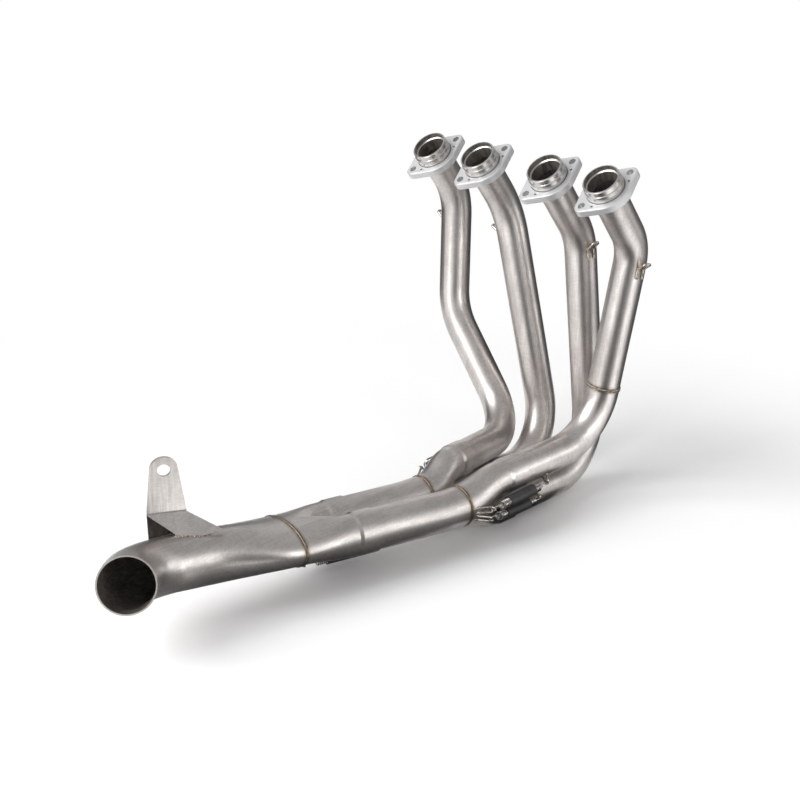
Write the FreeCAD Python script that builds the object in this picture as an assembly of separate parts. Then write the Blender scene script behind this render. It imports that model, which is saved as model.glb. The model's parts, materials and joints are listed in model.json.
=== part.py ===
import FreeCAD, Part
import math
import os

V = FreeCAD.Vector

# Driving dimensions, in mm

# Port row at the cylinder head
PORT_PITCH = 81.0
CENTRE_PITCH = 104.0
PORT_TILT = 38.0

# Port flange, a loose two-stud plate turned about its port
STUD_SPACING = 63.0
STUD_HOLE_D = 8.4
STUD_LINE_ANGLE = 63.0
PIN_SPACING = 52.6
PIN_LINE_ANGLE = 24.0
PIN_HOLE_D = 3.0
FLANGE_THICK = 10.0
FLANGE_WAIST_R = 29.0
FLANGE_EAR_R = 8.6
FLANGE_CHAMFER = 1.2

# Port collar, turned, butt-welded to its tube and clamped by the flange
COLLAR_HEIGHT = 15.5
COLLAR_SEAT_DEPTH = 5.0
COLLAR_BAND_D = 44.0
COLLAR_BAND_HEIGHT = 9.5
COLLAR_RIM_D = 42.4
COLLAR_BEVEL = 0.8
GASKET_RECESS_D = 38.8
GASKET_RECESS_DEPTH = 6.0
COLLAR_CLEARANCE = 0.5
TUBE_CLEARANCE = 0.7

# Tubes
TUBE_OD = 38.1
TUBE_WALL = 1.2
MID_OD = 45.0
MID_WALL = 1.2
OUTLET_OD = 57.0
OUTLET_WALL = 1.5
BEAD_R = 1.1

# Slip joints, where a tube end slides into a flared socket
SOCKET_LENGTH = 26.0
SOCKET_FLARE = 4.0
SOCKET_CLEARANCE = 0.15
SOCKET_GAP = 2.0
SLIP_STOP = 2.0
BRANCH_STRAIGHT = 5.0

# Sections along a formed skin, as shares of its length
SKIN_STATIONS = (0, 0.12, 0.35, 0.65, 0.88, 1)

# Bends of the four primary tubes, and of tube 4 where its two lengths are welded
PORT_RUN_1 = 66.0
PORT_RUN_2 = 79.0
PORT_RUN_3 = 97.0
PORT_RUN_4 = 92.0
PORT_BEND_R1 = 72.0
PORT_BEND_R2 = 93.0
PORT_BEND_R3 = 61.0
PORT_BEND_R4 = 55.0
KNEE_1_SIDE = 119.5
KNEE_1_FORE = 24.5
KNEE_1_DROP = 202.0
KNEE_R1 = 82.0
SWEEP_1_FORE = 11.0
SWEEP_1_LIFT = 4.5
SWEEP_2_SIDE = 19.4
SWEEP_2_FORE = 61.0
SWEEP_2_SINK = 33.0
SWEEP_3_SIDE = 82.5
SWEEP_3_FORE = 66.0
SWEEP_3_SINK = 29.0
SWEEP_4_SIDE = 111.2
SWEEP_4_FORE = 31.0
SWEEP_4_LIFT = 25.0
SWEEP_R = 72.0
TUBE_4_WELD_LEAD = 4.0

# Merge collectors: where the branches begin, and the ring where they have become one
PIPE_DROP = 334.0
MERGE_RIGHT_SIDE = 101.8
MERGE_RIGHT_BACK = 127.0
MERGE_RIGHT_RUN = 58.0
MERGE_RIGHT_LIFT = 3.5
MERGE_LEFT_SIDE = 36.5
MERGE_LEFT_BACK = 141.0
MERGE_LEFT_RUN = 52.0
MERGE_LEFT_DRIFT = 14.5
MERGE_LEFT_LIFT = 1.0
STACK_LEAN = 14.0
MID_LEAD_RIGHT = 20.0
MID_DRIFT_RIGHT = 1.0
MID_LEAD_LEFT = 29.0
MID_DRIFT_LEFT = 2.5
MID_BEND_R = 110.0

# Final collector, its oval ring and the outlet pipe
FINAL_SIDE = 54.0
FINAL_BACK = 322.0
FINAL_RISE = 5.0
FINAL_LEAN = 5.5
FINAL_RUN = 65.0
FINAL_DRIFT = 6.0
FINAL_LIFT = 6.5
OVAL_WIDTH = 88.0
OUTLET_RUN = 160.0
OUTLET_DRIFT = 34.5
OUTLET_LIFT = 10.0
OUTLET_BEND_R = 70.0
TIP_RUN = 34.0
TIP_DRIFT = 47.5
TIP_LIFT = 18.0
OVAL_BLEND = 90.0

# Joint springs with their rubber sleeves, and the wire hooks that hold them
SPRING_OD = 10.5
SPRING_WIRE = 1.6
SLEEVE_WALL = 1.1
SLEEVE_CLEARANCE = 0.1
SLEEVE_SHARE = 0.66
COIL_MARGIN = 14.0
HOOK_WIRE = 2.6
HOOK_WIDTH = 6.2
HOOK_STAND = 8.0
# Taller hooks at the final collector and joint 1, where the flanks bulge further out
FAR_HOOK_STAND = 12.5
TUBE_HOOK_LEAN = 4.0
BRANCH_HOOK_LEAN = 17.0
LOOP_SLACK = 0.25
LOOP_ROUNDING = 0.9
TUBE_HOOK_GAP = 30.0
RING_HOOK_GAP = 23.0
# Side of the pipe, seen along its length, that each tube hook and branch hook stands on
SPRING_SIDES = {
    "1": (V(-0.95, 0, -0.31), V(-0.89, 0, 0.455)),
    "2": (V(0.85, 0, -0.53), V(0.6, 0, -0.8)),
    "3": (V(0.98, 0, 0.17), V(0.88, 0, -0.45)),
    "4": (V(0.72, 0, -0.69), V(1, 0, -0.02)),
    "left": (V(-0.2, 0, -0.98), V(-0.2, 0, -0.98)),
    "right": (V(-0.49, 0, -0.87), V(-0.49, 0, -0.87)),
}

# Wire ears near the ports
EAR_WIRE = 3.2
EAR_WIDTH = 8.0
EAR_BASE = 12.0
EAR_ARM = 13.0
EAR_RISE = 0.8
EAR_DROP_1 = 41.0
EAR_DROP_2 = 32.0
EAR_DROP_3 = 20.0
EAR_DROP_4 = 28.0
EAR_SIDES = [V(-1, 0, 0), V(-1, 0, 0), V(1, -0.2, 0), V(1, -0.2, 0)]

# Hanger bracket on the outlet pipe
SHEET = 3.0
FOLD_R = 3.0
BRACKET_AHEAD = 47.0
BRACKET_SHIFT = 5.5
BRACKET_LIFT = 46.5
BRACKET_TURN = 63.0
BRACKET_WIDTH = 39.0
BRACKET_HOLE_RISE = 45.0
BRACKET_TOP_R = 14.0
BRACKET_HOLE_D = 12.8
FOOT_OUT = 13.4
FOOT_FALL = 20.0
FOOT_SKEW = 34.0
FOOT_NEAR = 30.0
FOOT_FAR = 24.0
LEG_FALL = 30.0

# Half-space cutter, larger than any piece it trims
CUT_SIZE = 500.0

TUBE_R = TUBE_OD / 2
MID_R = MID_OD / 2
OUTLET_R = OUTLET_OD / 2

# Corners of the pipe runs, from the middle of the port row: X along the row, Y forward, Z up
KNEE_1 = V(-KNEE_1_SIDE, KNEE_1_FORE, -KNEE_1_DROP)
SWEEP_1 = V(0, SWEEP_1_FORE, SWEEP_1_LIFT - PIPE_DROP)
SWEEP_2 = V(SWEEP_2_SIDE, SWEEP_2_FORE, -SWEEP_2_SINK - PIPE_DROP)
SWEEP_3 = V(SWEEP_3_SIDE, SWEEP_3_FORE, -SWEEP_3_SINK - PIPE_DROP)
SWEEP_4 = V(SWEEP_4_SIDE, SWEEP_4_FORE, SWEEP_4_LIFT - PIPE_DROP)
MERGE_RIGHT = V(MERGE_RIGHT_SIDE, -MERGE_RIGHT_BACK, -PIPE_DROP)
RING_RIGHT = MERGE_RIGHT + V(0, -MERGE_RIGHT_RUN, MERGE_RIGHT_LIFT)
MID_BEND_RIGHT = RING_RIGHT - V(MID_DRIFT_RIGHT, MID_LEAD_RIGHT, 0)
MERGE_LEFT = V(MERGE_LEFT_SIDE, -MERGE_LEFT_BACK, -PIPE_DROP)
RING_LEFT = MERGE_LEFT + V(MERGE_LEFT_DRIFT, -MERGE_LEFT_RUN, MERGE_LEFT_LIFT)
MID_BEND_LEFT = RING_LEFT - V(MID_DRIFT_LEFT, MID_LEAD_LEFT, 0)
MERGE_FINAL = V(FINAL_SIDE, -FINAL_BACK, FINAL_RISE - PIPE_DROP)
RING_FINAL = MERGE_FINAL + V(-FINAL_DRIFT, -FINAL_RUN, FINAL_LIFT)
OUTLET_BEND = RING_FINAL + V(-OUTLET_DRIFT, -OUTLET_RUN, OUTLET_LIFT)
OUTLET_TIP = OUTLET_BEND + V(TIP_DRIFT, -TIP_RUN, TIP_LIFT)
BRACKET_FOOT = OUTLET_BEND + V(-BRACKET_SHIFT, BRACKET_AHEAD, BRACKET_LIFT)


def unit(vector):
    return V(vector).normalize()


def between(a, b, share):
    return a + (b - a) * share


def place(shape, origin, z_dir, x_dir):
    """Put a shape made about the Z axis onto the given axis."""
    turn = FreeCAD.Rotation(V(x_dir), V(0, 0, 0), V(z_dir), "ZXY")
    moved = shape.copy()
    moved.Placement = FreeCAD.Placement(origin, turn)
    return moved


def turned(profile):
    """Revolve a closed outline of (radius, height) points about the Z axis."""
    points = [V(r, 0, z) for r, z in profile]
    wire = Part.makePolygon(points + [points[0]])
    return Part.Face(wire).revolve(V(0, 0, 0), V(0, 0, 1), 360)


def setback(before, corner, after, radius):
    """How far from a corner its tangent arc begins."""
    return radius * math.tan(unit(corner - before).getAngle(unit(after - corner)) / 2)


def route(points, radii):
    """Straight runs joined by tangent arcs."""
    edges = []
    start = points[0]
    for before, corner, after, radius in zip(points, points[1:], points[2:], radii):
        into = unit(corner - before)
        out = unit(after - corner)
        reach = setback(before, corner, after, radius)
        inward = unit(out - into)
        arc_start = corner - into * reach
        arc_end = corner + out * reach
        arc_mid = corner + inward * (math.hypot(radius, reach) - radius)
        edges.append(Part.LineSegment(start, arc_start).toShape())
        edges.append(Part.Arc(arc_start, arc_mid, arc_end).toShape())
        start = arc_end
    edges.append(Part.LineSegment(start, points[-1]).toShape())
    return Part.Wire(edges)


def bent_rod(points, radii, radius):
    heading = unit(points[1] - points[0])
    section = Part.Face(Part.Wire(Part.Circle(points[0], heading, radius).toShape()))
    return route(points, radii).makePipe(section)


def bent_tube(points, radii, radius, wall):
    return bent_rod(points, radii, radius).cut(bent_rod(points, radii, radius - wall))


# Port frames: centre on the head face, outward normal, stud line

PORT_X = [
    -CENTRE_PITCH / 2 - PORT_PITCH,
    -CENTRE_PITCH / 2,
    CENTRE_PITCH / 2,
    CENTRE_PITCH / 2 + PORT_PITCH,
]
TILT = math.radians(PORT_TILT)
PORT_OUT = V(0, -math.sin(TILT), math.cos(TILT))
PORT_UP = V(0, math.cos(TILT), math.sin(TILT))
STUD_TURN = math.radians(STUD_LINE_ANGLE)
STUD_DIR = V(math.cos(STUD_TURN), 0, 0) + PORT_UP * math.sin(STUD_TURN)


def port(index):
    return V(PORT_X[index], 0, 0)


def collar():
    seat = -COLLAR_SEAT_DEPTH
    bore = TUBE_R - TUBE_WALL
    band = COLLAR_BAND_D / 2
    rim = COLLAR_RIM_D / 2
    recess = GASKET_RECESS_D / 2
    ledge = COLLAR_HEIGHT - GASKET_RECESS_DEPTH
    return turned(
        [
            (bore, seat),
            (band, seat),
            (band, COLLAR_BAND_HEIGHT - COLLAR_BEVEL),
            (rim, COLLAR_BAND_HEIGHT),
            (rim, COLLAR_HEIGHT - COLLAR_BEVEL),
            (rim - COLLAR_BEVEL, COLLAR_HEIGHT),
            (recess, COLLAR_HEIGHT),
            (recess, ledge),
            (bore, ledge - COLLAR_BEVEL),
        ]
    )


def flange():
    """Round waist, two ears, tangent flanks, counterbored for the collar."""
    half = STUD_SPACING / 2
    lean = math.acos((FLANGE_WAIST_R - FLANGE_EAR_R) / half)
    plan = []
    for sx, sy in ((1, 1), (-1, 1), (-1, -1), (1, -1)):
        side = V(sx * math.cos(lean), sy * math.sin(lean), 0)
        ear = V(sx * half, 0, 0)
        plan.append((side * FLANGE_WAIST_R, ear + side * FLANGE_EAR_R))
    (a_in, a_out), (b_in, b_out), (c_in, c_out), (d_in, d_out) = plan
    edges = [
        Part.LineSegment(a_out, a_in).toShape(),
        Part.Arc(a_in, V(0, FLANGE_WAIST_R, 0), b_in).toShape(),
        Part.LineSegment(b_in, b_out).toShape(),
        Part.Arc(b_out, V(-half - FLANGE_EAR_R, 0, 0), c_out).toShape(),
        Part.LineSegment(c_out, c_in).toShape(),
        Part.Arc(c_in, V(0, -FLANGE_WAIST_R, 0), d_in).toShape(),
        Part.LineSegment(d_in, d_out).toShape(),
        Part.Arc(d_out, V(half + FLANGE_EAR_R, 0, 0), a_out).toShape(),
    ]
    plate = Part.Face(Part.Wire(edges)).extrude(V(0, 0, -FLANGE_THICK))
    rim_edges = [e for e in plate.Edges if abs(e.BoundBox.ZMax - e.BoundBox.ZMin) < 1e-6]
    plate = plate.makeChamfer(FLANGE_CHAMFER, rim_edges)
    through = [(TUBE_R + TUBE_CLEARANCE, V(0, 0, 0))]
    pin_turn = math.radians(PIN_LINE_ANGLE)
    pin = V(math.cos(pin_turn), -math.sin(pin_turn), 0) * (PIN_SPACING / 2)
    for sx in (1, -1):
        through.append((STUD_HOLE_D / 2, V(sx * half, 0, 0)))
        through.append((PIN_HOLE_D / 2, V(sx * pin.x, pin.y, 0)))
    for radius, at in through:
        plate = plate.cut(Part.makeCylinder(radius, FLANGE_THICK, at, V(0, 0, -1)))
    recess = COLLAR_BAND_D / 2 + COLLAR_CLEARANCE
    return plate.cut(Part.makeCylinder(recess, COLLAR_SEAT_DEPTH, V(0, 0, 0), V(0, 0, -1)))


# Merge frames

LEAN = math.radians(STACK_LEAN)
SOCKET_R = TUBE_R + SOCKET_CLEARANCE + TUBE_WALL
MID_SOCKET_R = MID_R + SOCKET_CLEARANCE + MID_WALL
STACK_OFFSET = SOCKET_R + SOCKET_GAP / 2
SIDE_OFFSET = MID_SOCKET_R + SOCKET_GAP / 2


def across(direction, axis):
    """The part of a direction that is square to an axis."""
    return unit(direction - axis * direction.dot(axis))


def begin_points(merge, ring, direction, offset):
    away = across(direction, unit(ring - merge))
    return merge + away * offset, merge - away * offset


STACK_DIR = V(math.sin(LEAN), 0, math.cos(LEAN))
BEGIN_4, BEGIN_3 = begin_points(MERGE_RIGHT, RING_RIGHT, STACK_DIR, STACK_OFFSET)
BEGIN_1, BEGIN_2 = begin_points(MERGE_LEFT, RING_LEFT, STACK_DIR, STACK_OFFSET)
SIDE_LEAN = math.radians(FINAL_LEAN)
SIDE_DIR = V(math.cos(SIDE_LEAN), 0, math.sin(SIDE_LEAN))
BEGIN_RIGHT, BEGIN_LEFT = begin_points(MERGE_FINAL, RING_FINAL, SIDE_DIR, SIDE_OFFSET)


def slipped(points):
    """Shorten a route that ends at a branch so that it stops inside the socket."""
    heading = unit(points[-1] - points[-2])
    return points[:-1] + [points[-1] - heading * (SOCKET_FLARE + SLIP_STOP)]


def primary_route(index):
    start = port(index) - PORT_OUT * COLLAR_SEAT_DEPTH
    run = (PORT_RUN_1, PORT_RUN_2, PORT_RUN_3, PORT_RUN_4)[index]
    first = port(index) - PORT_OUT * run
    bend = (PORT_BEND_R1, PORT_BEND_R2, PORT_BEND_R3, PORT_BEND_R4)[index]
    if index == 0:
        return slipped([start, first, KNEE_1, SWEEP_1, BEGIN_1]), [bend, KNEE_R1, SWEEP_R]
    sweep, begin = ((SWEEP_2, BEGIN_2), (SWEEP_3, BEGIN_3), (SWEEP_4, BEGIN_4))[index - 1]
    return slipped([start, first, sweep, begin]), [bend, SWEEP_R]


def oval_wire(centre, heading, half_width, half_height, x_hint):
    """Two half ellipses, with half_width along x_hint."""
    if half_width >= half_height:
        curve = Part.Ellipse(V(0, 0, 0), half_width, half_height)
    else:
        curve = Part.Ellipse(V(0, half_height, 0), V(half_width, 0, 0), V(0, 0, 0))
    halves = [Part.Edge(curve, 0, math.pi), Part.Edge(curve, math.pi, 2 * math.pi)]
    return place(Part.Wire(halves), centre, heading, x_hint)


def socket(begin, heading, tube_r, wall):
    """Flared end that a tube slides into, with its mouth away from the branch."""
    outer = tube_r + SOCKET_CLEARANCE + wall
    inner = tube_r + SOCKET_CLEARANCE
    body = turned(
        [
            (inner, -SOCKET_LENGTH),
            (outer, -SOCKET_LENGTH),
            (outer, -SOCKET_FLARE),
            (tube_r, 0),
            (tube_r, BRANCH_STRAIGHT),
            (tube_r - wall, BRANCH_STRAIGHT),
            (tube_r - wall, 0),
            (inner, -SOCKET_FLARE),
        ]
    )
    return place(body, begin, heading, V(0, 0, 1))


def swelling_skin(start, leave, end, arrive, from_size, to_size, side):
    """Loft between two sections, each given by its half width along side and half height."""
    reach = (end - start).Length
    sections = []
    for share in SKIN_STATIONS:
        swell = 3 * share**2 - 2 * share**3
        at = (
            between(start, end, swell)
            + leave * (reach * share * (1 - share) ** 2)
            - arrive * (reach * share**2 * (1 - share))
        )
        wide, tall = (a * (1 - swell) + b * swell for a, b in zip(from_size, to_size))
        sections.append(oval_wire(at, between(leave, arrive, share), wide, tall, side))
    return Part.makeLoft(sections, True, False)


def swelling_shell(start, leave, end, arrive, from_size, to_size, side, wall):
    """The skin, and the bore to cut from it."""
    from_bore, to_bore = ([half - wall for half in size] for size in (from_size, to_size))
    outer = swelling_skin(start, leave, end, arrive, from_size, to_size, side)
    return outer, swelling_skin(start, leave, end, arrive, from_bore, to_bore, side)


def branch(begin, came_from, ring, ring_heading, tube_r, wall, ring_size, away):
    """Socket, then a formed half that swells to the ring, and that half as a filled skin."""
    heading = unit(begin - came_from)
    start = begin + heading * BRANCH_STRAIGHT
    round_size = (tube_r, tube_r)
    outer, bore = swelling_shell(
        start, heading, ring, ring_heading, round_size, ring_size, away, wall
    )
    half_space = Part.makeBox(CUT_SIZE, CUT_SIZE, CUT_SIZE, V(-CUT_SIZE / 2, -CUT_SIZE / 2, 0))
    skin = outer.common(place(half_space, ring, away, ring_heading))
    return socket(begin, heading, tube_r, wall).fuse(skin.cut(bore)), skin


def bead(centre, heading, ring_size, side):
    """Weld bead round the start of a pipe."""
    wide, tall = ring_size
    side = across(side, heading)
    seat = centre + heading * BEAD_R
    path = oval_wire(seat, heading, wide, tall, side)
    section = Part.Circle(seat + side * wide, heading.cross(side), BEAD_R).toShape()
    return path.makePipe(Part.Face(Part.Wire(section)))


RING_RIGHT_DIR = unit(MID_BEND_RIGHT - RING_RIGHT)
RING_LEFT_DIR = unit(MID_BEND_LEFT - RING_LEFT)
RING_FINAL_DIR = unit(RING_FINAL - MERGE_FINAL)

# For tubes 1 to 4: where the branch begins, its ring, and its side of the stack
PRIMARY_BRANCHES = [
    (BEGIN_1, RING_LEFT, RING_LEFT_DIR, 1),
    (BEGIN_2, RING_LEFT, RING_LEFT_DIR, -1),
    (BEGIN_3, RING_RIGHT, RING_RIGHT_DIR, -1),
    (BEGIN_4, RING_RIGHT, RING_RIGHT_DIR, 1),
]


def outlet_pipe():
    """Oval mouth over the final collector, blended into the bent round pipe, with its bead."""
    mouth = V(0, 0, 0)
    bend = OUTLET_BEND - RING_FINAL
    tip = OUTLET_TIP - RING_FINAL
    along = unit(bend)
    round_start = along * OVAL_BLEND
    oval = (OVAL_WIDTH / 2, MID_R)
    full = (OUTLET_R, OUTLET_R)
    outer, bore = swelling_shell(
        mouth, RING_FINAL_DIR, round_start, along, oval, full, V(1, 0, 0), OUTLET_WALL
    )
    pipe = bent_tube([round_start, bend, tip], [OUTLET_BEND_R], OUTLET_R, OUTLET_WALL)
    outlet = outer.cut(bore).fuse(pipe).fuse(bead(mouth, RING_FINAL_DIR, oval, V(1, 0, 0)))
    outlet.translate(RING_FINAL)
    return outlet


def wire_loop(points, spread, radii, wire):
    """Wire bent to a loop: out along the points, round the far end and back beside itself."""
    gap = spread * 0.5
    there = [point + gap for point in points]
    back = [point - gap for point in reversed(points)]
    turn_r = gap.Length * LOOP_ROUNDING
    return bent_rod(there + back, radii + [turn_r, turn_r] + radii[::-1], wire / 2)


def hook(rim, pin, out, heading, lean):
    """Wire staple that a spring end hooks on, both legs butted on the pipe behind the pin."""
    foot = rim - heading * lean - out * (HOOK_WIRE / 2)
    return wire_loop([foot, pin], out.cross(heading) * HOOK_WIDTH, [], HOOK_WIRE)


def tube_ear(index):
    """Wire loop near the top of a primary tube: two legs laid along it and a raised loop."""
    points, radii = primary_route(index)
    down = unit(points[2] - points[1])
    centre = points[1] + down * (EAR_DROP_1, EAR_DROP_2, EAR_DROP_3, EAR_DROP_4)[index]
    out = across(EAR_SIDES[index], down)
    height = math.sqrt((TUBE_R + EAR_WIRE / 3) ** 2 - (EAR_WIDTH / 2) ** 2)
    seat = centre + out * height
    low = seat + down * (EAR_BASE / 2)
    high = seat - down * (EAR_BASE / 2)
    tip = high + unit(out - down * EAR_RISE) * EAR_ARM
    return wire_loop([low, high, tip], out.cross(down) * EAR_WIDTH, [EAR_WIRE], EAR_WIRE)


def coil_spring(pins, bars):
    """Tension spring: the coiled barrel and an end loop round the bar of each hook."""
    wire_r = SPRING_WIRE / 2
    loop_r = HOOK_WIRE / 2 + LOOP_SLACK + wire_r
    pull = unit(pins[1] - pins[0])
    length = (pins[1] - pins[0]).Length - 2 * COIL_MARGIN
    spring = Part.makeCylinder(SPRING_OD / 2, length, pins[0] + pull * COIL_MARGIN, pull)
    for pin, bar, inward in zip(pins, bars, (pull, pull * -1)):
        tail = Part.makeCylinder(wire_r, COIL_MARGIN - loop_r, pin + inward * loop_r, inward)
        spring = spring.fuse(Part.makeTorus(loop_r, wire_r, pin, bar)).fuse(tail)
    return spring


def spring_sleeve(span):
    half = (span / 2 - COIL_MARGIN) * SLEEVE_SHARE
    inner = SPRING_OD / 2 + SLEEVE_CLEARANCE
    outer = inner + SLEEVE_WALL
    low = span / 2 - half
    high = span / 2 + half
    return turned([(inner, low), (outer, low), (outer, high), (inner, high)])


def spring_set(name, ends, stand, carriers):
    """Two hooks seated on their carriers, the tension spring between them and its sleeve."""
    pins = []
    bars = []
    pieces = {}
    for part_name, lean, (axis, heading, radius), side, carrier in zip(
        ("tube_hook_", "branch_hook_"),
        (TUBE_HOOK_LEAN, BRANCH_HOOK_LEAN),
        ends,
        SPRING_SIDES[name],
        carriers,
    ):
        out = across(side, heading)
        rim = axis + out * radius
        pin = rim + out * stand
        pins.append(pin)
        bars.append(out.cross(heading))
        pieces[part_name + name] = hook(rim, pin, out, heading, lean).cut(carrier)
    pull = unit(pins[1] - pins[0])
    span = (pins[1] - pins[0]).Length
    pieces["spring_" + name] = coil_spring(pins, bars)
    sleeve_x = across(V(0, 0, 1), pull)
    pieces["spring_sleeve_" + name] = place(spring_sleeve(span), pins[0], pull, sleeve_x)
    return pieces


def bracket(pipe):
    """Folded sheet hanger, an upright ear with a hole and its sloping foot, and the leg below."""
    turn = math.radians(BRACKET_TURN)
    along = V(math.cos(turn), math.sin(turn), 0)
    up = V(0, 0, 1)
    face = along.cross(up)
    half = BRACKET_WIDTH / 2
    top = BRACKET_HOLE_RISE

    def on_ear(x, z):
        return BRACKET_FOOT + along * x + up * z

    lean = math.asin((half - BRACKET_TOP_R) / math.hypot(half, top))
    rise = math.atan2(top, half) - math.pi / 2 + lean
    touch_x = BRACKET_TOP_R * math.cos(rise)
    touch_z = top + BRACKET_TOP_R * math.sin(-rise)
    slope = unit(face * FOOT_OUT - up * FOOT_FALL)
    under = along.cross(slope)
    start = FOLD_R * math.tan(slope.getAngle(up * -1) / 2)
    outline = [
        Part.LineSegment(on_ear(-half, start), on_ear(half, start)).toShape(),
        Part.LineSegment(on_ear(half, start), on_ear(touch_x, touch_z)).toShape(),
        Part.Arc(
            on_ear(touch_x, touch_z),
            on_ear(0, top + BRACKET_TOP_R),
            on_ear(-touch_x, touch_z),
        ).toShape(),
        Part.LineSegment(on_ear(-touch_x, touch_z), on_ear(-half, start)).toShape(),
    ]
    ear = Part.Face(Part.Wire(outline)).extrude(face * -SHEET)
    ear = ear.cut(Part.makeCylinder(BRACKET_HOLE_D / 2, SHEET, on_ear(0, top), face * -1))
    front = on_ear(-half, 0)
    inner = [front + up * start, front + slope * start]
    outer = [inner[0] - face * SHEET, inner[1] + under * SHEET]
    centre = inner[0] + face * FOLD_R
    middle = unit(front - centre)
    section = [
        Part.Arc(inner[0], centre + middle * FOLD_R, inner[1]).toShape(),
        Part.LineSegment(inner[1], outer[1]).toShape(),
        Part.Arc(outer[1], centre + middle * (FOLD_R + SHEET), outer[0]).toShape(),
        Part.LineSegment(outer[0], inner[0]).toShape(),
    ]
    fold = Part.Face(Part.Wire(section)).extrude(along * BRACKET_WIDTH)
    corners = [
        inner[1],
        inner[1] + along * BRACKET_WIDTH,
        on_ear(half + FOOT_SKEW, 0) + slope * FOOT_FAR,
        on_ear(FOOT_SKEW - half, 0) + slope * FOOT_NEAR,
    ]
    foot = Part.Face(Part.makePolygon(corners + corners[:1])).extrude(under * SHEET)
    hanger = ear.fuse(fold).fuse(foot).cut(pipe)
    leg_low = on_ear(0, -LEG_FALL)
    leg_points = [on_ear(-half, 0), on_ear(half, 0), leg_low + along * half, leg_low - along * half]
    leg = Part.Face(Part.makePolygon(leg_points + leg_points[:1])).extrude(face * -SHEET)
    return hanger, leg.cut(hanger).cut(pipe)


def weld_split(tube, at, heading):
    """Part a tube square to its run, where two lengths are butt-welded."""
    cutter = Part.makeBox(CUT_SIZE, CUT_SIZE, CUT_SIZE, V(-CUT_SIZE / 2, -CUT_SIZE / 2, 0))
    beyond = place(cutter, at, heading, V(1, 0, 0))
    return tube.cut(beyond), tube.common(beyond)


def build():
    pieces = {}
    for index, (begin, ring, ring_dir, sign) in enumerate(PRIMARY_BRANCHES):
        number = str(index + 1)
        at = port(index)
        pieces["port_collar_" + number] = place(collar(), at, PORT_OUT, STUD_DIR)
        pieces["port_flange_" + number] = place(flange(), at, PORT_OUT, STUD_DIR)
        points, radii = primary_route(index)
        tube = bent_tube(points, radii, TUBE_R, TUBE_WALL)
        rod = bent_rod(points, radii, TUBE_R)
        if index == 3:
            heading = unit(points[2] - points[1])
            lead = setback(*points[1:], radii[1]) + TUBE_4_WELD_LEAD
            weld = points[2] - heading * lead
            upper, lower = weld_split(tube, weld, heading)
            lower = lower.fuse(bead(weld, heading, (TUBE_R, TUBE_R), V(1, 0, 0)))
            pieces["primary_tube_4_upper"] = upper
            pieces["primary_tube_4_lower"] = lower
        else:
            pieces["primary_tube_" + number] = tube
        pieces["tube_ear_" + number] = tube_ear(index).cut(rod)
        away = across(STACK_DIR, ring_dir) * sign
        half, skin = branch(
            begin, points[-2], ring, ring_dir, TUBE_R, TUBE_WALL, (MID_R, MID_R), away
        )
        pieces["collector_branch_" + number] = half
        tube_dir = unit(begin - points[-2])
        before = begin - tube_dir * (SOCKET_LENGTH + TUBE_HOOK_GAP)
        after = ring - ring_dir * RING_HOOK_GAP
        ends = ((before, tube_dir, TUBE_R), (after, ring_dir * -1, MID_R))
        stand = FAR_HOOK_STAND if index == 0 else HOOK_STAND
        pieces.update(spring_set(number, ends, stand, (rod, skin)))
    oval = (OVAL_WIDTH / 2, MID_R)
    for name, ring, ring_dir, bend, begin, sign in (
        ("left", RING_LEFT, RING_LEFT_DIR, MID_BEND_LEFT, BEGIN_LEFT, -1),
        ("right", RING_RIGHT, RING_RIGHT_DIR, MID_BEND_RIGHT, BEGIN_RIGHT, 1),
    ):
        points = slipped([ring, bend, begin])
        pipe = bent_tube(points, [MID_BEND_R], MID_R, MID_WALL)
        rod = bent_rod(points, [MID_BEND_R], MID_R)
        ring_bead = bead(ring, ring_dir, (MID_R, MID_R), V(1, 0, 0))
        pieces["mid_pipe_" + name] = pipe.fuse(ring_bead)
        away = across(V(1, 0, 0), RING_FINAL_DIR) * sign
        half, skin = branch(
            begin, bend, RING_FINAL, RING_FINAL_DIR, MID_R, MID_WALL, oval, away
        )
        pieces["final_branch_" + name] = half
        pipe_dir = unit(begin - bend)
        before = begin - pipe_dir * (SOCKET_LENGTH + TUBE_HOOK_GAP)
        after = RING_FINAL - RING_FINAL_DIR * RING_HOOK_GAP + away * (OVAL_WIDTH / 2 - MID_R)
        ends = ((before, pipe_dir, MID_R), (after, RING_FINAL_DIR * -1, MID_R))
        pieces.update(spring_set(name, ends, FAR_HOOK_STAND, (rod, skin)))
    pieces["outlet_pipe"] = outlet_pipe()
    envelope = bent_rod([RING_FINAL, OUTLET_BEND, OUTLET_TIP], [OUTLET_BEND_R], OUTLET_R)
    pieces["hanger_bracket"], pieces["bracket_leg"] = bracket(envelope)
    return pieces


# Origin under the middle of the whole header, at the level of its lowest point
PIECES = build()
extent = FreeCAD.BoundBox()
for shape in PIECES.values():
    extent.add(shape.optimalBoundingBox(False))
ORIGIN = V(extent.Center.x, extent.Center.y, extent.ZMin)

os.makedirs("parts", exist_ok=True)
for node, shape in PIECES.items():
    shape.translate(ORIGIN * -1)
    print(node, len(shape.Solids), shape.isValid(), round(shape.Volume, 1))
    shape.exportStep("parts/" + node + ".step")
print("origin in the port row's frame", ORIGIN)
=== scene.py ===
# Motorcycle exhaust header, dressed in its finishes and lit on a white studio floor
import json
import math

import bmesh
import bpy
import numpy as np
from mathutils import Matrix, Vector, noise
from mathutils.bvhtree import BVHTree


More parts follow.
